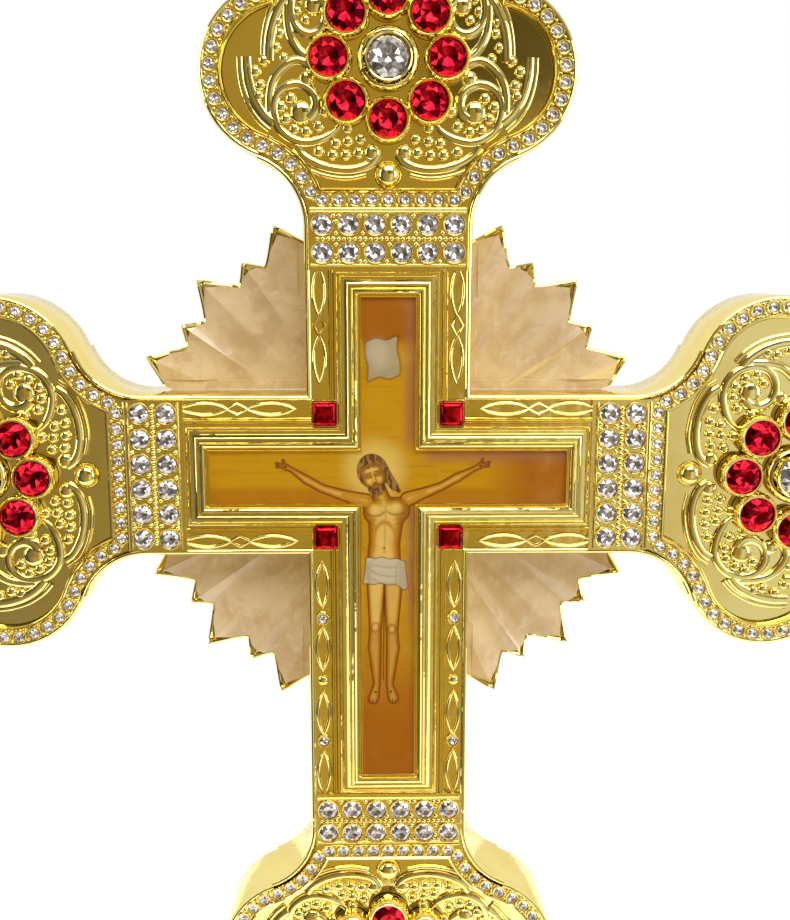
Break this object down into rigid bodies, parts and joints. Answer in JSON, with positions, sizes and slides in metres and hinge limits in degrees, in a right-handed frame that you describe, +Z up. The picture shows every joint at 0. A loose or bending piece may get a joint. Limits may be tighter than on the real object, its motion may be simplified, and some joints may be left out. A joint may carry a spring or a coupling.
{
  "type": "altar cross",
  "caption": "Standing altar cross with trefoil ends, a painted icon under a clear dome, crystal bands and borders, ruby clusters and ray fans, on a turned stem and round foot.",
  "frame": {"origin": "on the surface the cross stands on, under the middle of the foot", "axes": "+Z up along the stem, -Y towards the front with the icon, +X to the right of someone facing the front"},
  "size_m": [0.2346, 0.11, 0.361],
  "materials": {
    "polished_gold": "polished gilt",
    "clear_crystal": "foil-backed cut glass",
    "ruby_glass": "foil-backed cut glass",
    "pearl_enamel": "pearl enamel",
    "icon_paint": "painted picture",
    "clear_resin": "clear domed resin",
    "bright_steel": "plated",
    "cast_iron": "rough casting",
    "green_felt": "felt"
  },
  "bodies": {
    "root": {"anchor_nut": "bright_steel", "back_cover": "polished_gold", "ballast": "cast_iron", "centre_crystal_left": "clear_crystal", "centre_crystal_lower": "clear_crystal", "centre_crystal_right": "clear_crystal", "centre_crystal_upper": "clear_crystal", "centre_setting_left": "polished_gold", "centre_setting_lower": "polished_gold", "centre_setting_right": "polished_gold", "centre_setting_upper": "polished_gold", "corner_ruby_lower_left": "ruby_glass", "corner_ruby_lower_right": "ruby_glass", "corner_ruby_upper_left": "ruby_glass", "corner_ruby_upper_right": "ruby_glass", "cover_screw_left": "bright_steel", "cover_screw_lower": "bright_steel", "cover_screw_right": "bright_steel", "cover_screw_upper": "bright_steel", "crystal_band_left": "clear_crystal", "crystal_band_lower": "clear_crystal", "crystal_band_right": "clear_crystal", "crystal_band_upper": "clear_crystal", "crystal_border_left": "clear_crystal", "crystal_border_lower": "clear_crystal", "crystal_border_right": "clear_crystal", "crystal_border_upper": "clear_crystal", "felt_pad": "green_felt", "foot": "polished_gold", "foot_nut": "bright_steel", "foot_washer": "bright_steel", "front_casing": "polished_gold", "icon_dome": "clear_resin", "icon_frame": "polished_gold", "icon_panel": "icon_paint", "pearl_inlay_lower_left": "pearl_enamel", "pearl_inlay_lower_right": "pearl_enamel", "pearl_inlay_upper_left": "pearl_enamel", "pearl_inlay_upper_right": "pearl_enamel", "ray_fan_lower_left": "polished_gold", "ray_fan_lower_right": "polished_gold", "ray_fan_upper_left": "polished_gold", "ray_fan_upper_right": "polished_gold", "ruby_cluster_left": "ruby_glass", "ruby_cluster_lower": "ruby_glass", "ruby_cluster_right": "ruby_glass", "ruby_cluster_upper": "ruby_glass", "saddle_collar": "polished_gold", "scroll_plate_left": "polished_gold", "scroll_plate_lower": "polished_gold", "scroll_plate_right": "polished_gold", "scroll_plate_upper": "polished_gold", "stem_knop": "polished_gold", "strip_crystal_high_left": "clear_crystal", "strip_crystal_high_right": "clear_crystal", "strip_crystal_low_left": "clear_crystal", "strip_crystal_low_right": "clear_crystal", "tie_rod": "bright_steel"}
  },
  "joints": []
}
